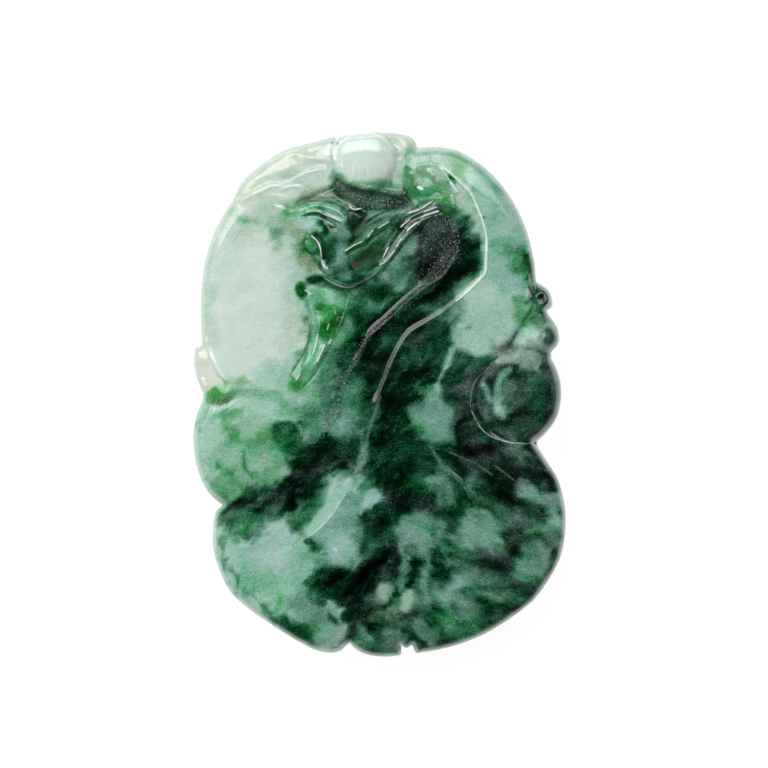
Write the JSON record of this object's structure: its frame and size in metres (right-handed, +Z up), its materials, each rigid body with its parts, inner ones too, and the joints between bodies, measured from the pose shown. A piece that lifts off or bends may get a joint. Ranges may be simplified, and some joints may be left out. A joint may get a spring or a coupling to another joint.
{
  "type": "jade palm stone",
  "caption": "Hand-sized carved jadeite stone with a dome, pearl, scrolls, disc, ball, curving ridge and petals in relief on one side, and a plain back that it rests on.",
  "frame": {"origin": "middle of the underside, on the surface that the stone rests on", "axes": "+Z up out of the carved side, +Y along the stone towards the pearl, +X towards the disc and scrolls"},
  "size_m": [0.0468, 0.0656, 0.0149],
  "materials": {
    "jadeite": "polished, mottled pale green to emerald and green-black"
  },
  "bodies": {
    "root": {"palm_stone": "jadeite"}
  },
  "joints": []
}
